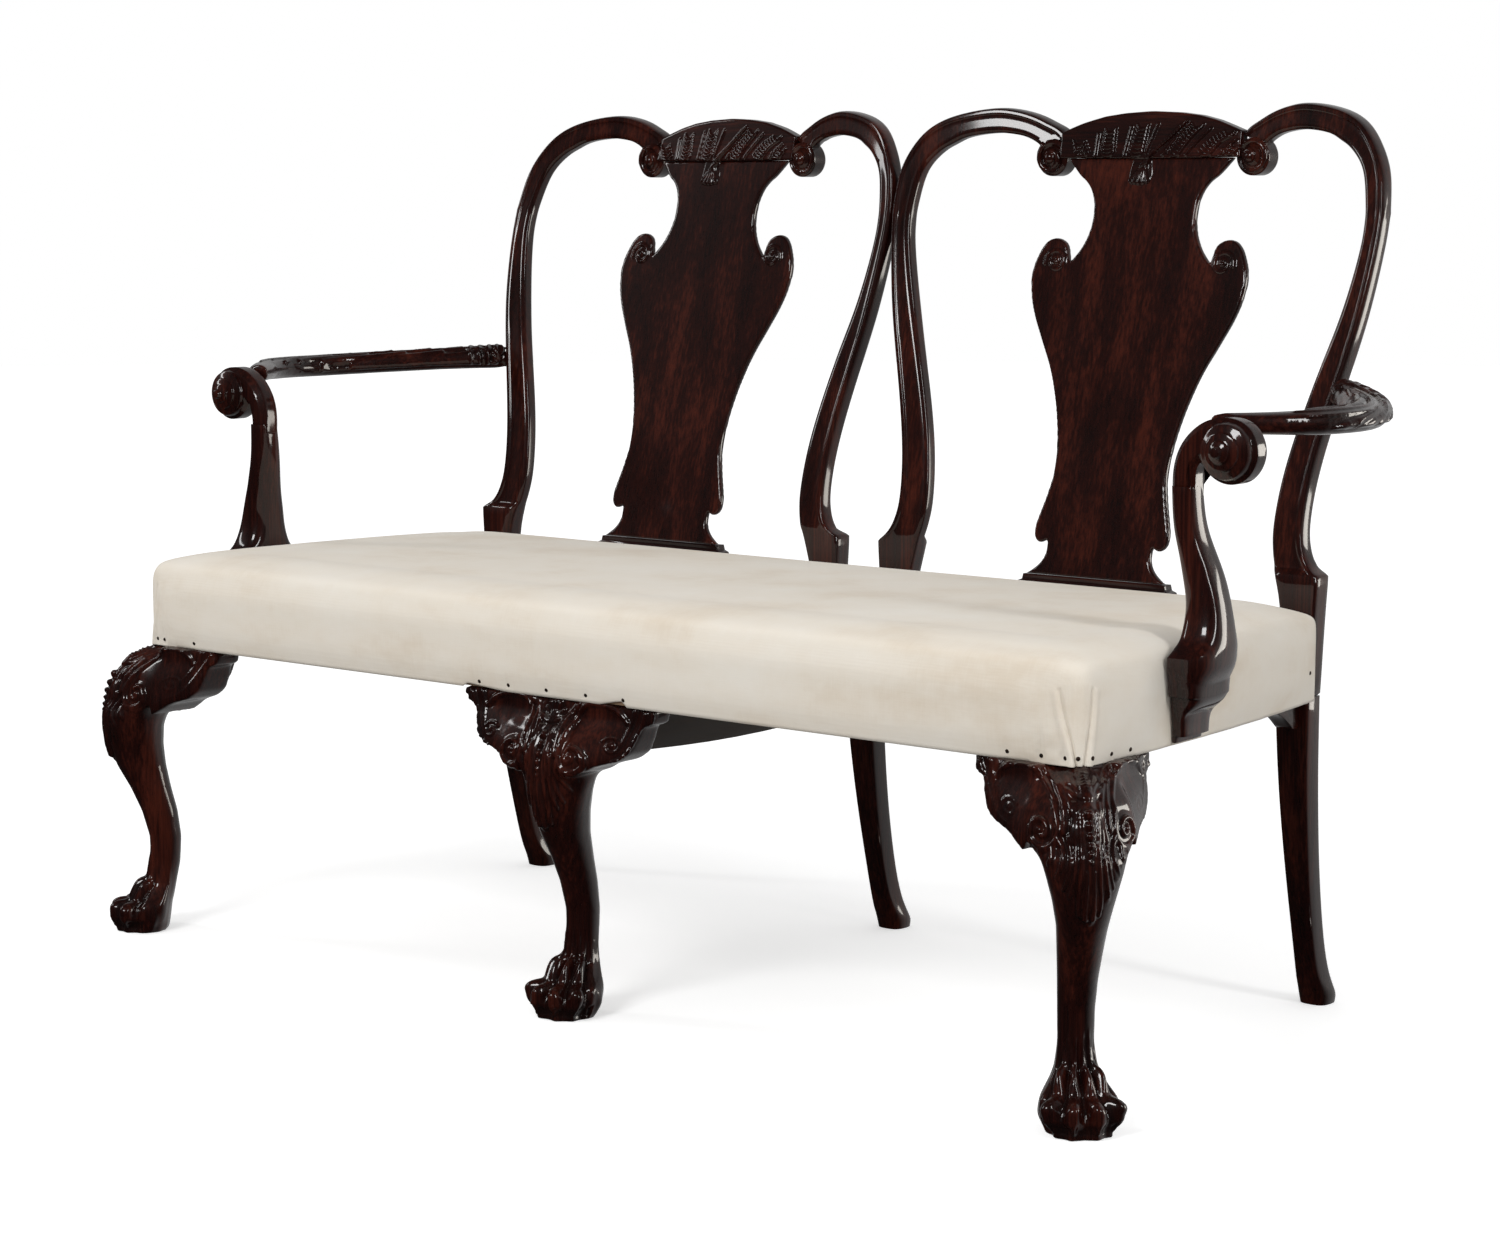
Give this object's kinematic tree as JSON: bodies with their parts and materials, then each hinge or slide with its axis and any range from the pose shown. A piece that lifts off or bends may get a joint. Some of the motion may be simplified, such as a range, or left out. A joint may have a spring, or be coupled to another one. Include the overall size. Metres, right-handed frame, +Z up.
{
  "type": "chair-back settee",
  "caption": "Carved mahogany chair-back settee with hoop backs, vase splats, scrolled arms, cabriole paw legs and an over-upholstered seat in plain cream cloth.",
  "frame": {"origin": "on the floor under the middle of the settee, half way between its foremost and rearmost points", "axes": "+Z up, +X to the sitter's left as seen from the front (the viewer's right), -Y towards the viewer in front; the length runs along X"},
  "size_m": [1.6054, 0.7442, 1.0055],
  "materials": {
    "mahogany": "dark polished",
    "frame_wood": "plain, unpolished",
    "calico": "plain weave, matt",
    "jute": "coarse weave, matt",
    "hair": "matt"
  },
  "bodies": {
    "root": {"front_leg_left": "mahogany", "front_leg_middle": "mahogany", "front_leg_right": "mahogany", "knee_ear_left_front": "mahogany", "knee_ear_left_side": "mahogany", "knee_ear_middle_left": "mahogany", "knee_ear_right_front": "mahogany", "knee_ear_right_side": "mahogany", "knee_ear_middle_right": "mahogany", "stile_left_outer": "mahogany", "hoop_left_outer": "mahogany", "stile_left_inner": "mahogany", "hoop_left_inner": "mahogany", "crest_left": "mahogany", "splat_left": "mahogany", "shoe_left": "mahogany", "stile_right_outer": "mahogany", "hoop_right_outer": "mahogany", "stile_right_inner": "mahogany", "hoop_right_inner": "mahogany", "crest_right": "mahogany", "splat_right": "mahogany", "shoe_right": "mahogany", "rear_leg_left": "mahogany", "rear_leg_middle": "mahogany", "rear_leg_right": "mahogany", "front_rail_left": "frame_wood", "front_rail_right": "frame_wood", "side_rail_left": "frame_wood", "side_rail_right": "frame_wood", "rear_rail": "mahogany", "medial_rail": "mahogany", "corner_block_left_front": "frame_wood", "corner_block_left_rear": "frame_wood", "rear_bracket_left": "mahogany", "corner_block_right_front": "frame_wood", "corner_block_right_rear": "frame_wood", "rear_bracket_right": "mahogany", "webbing": "jute", "seat_cover": "calico", "stuffing": "hair", "arm_support_left": "mahogany", "arm_support_right": "mahogany", "arm_left": "mahogany", "arm_right": "mahogany"}
  },
  "joints": []
}
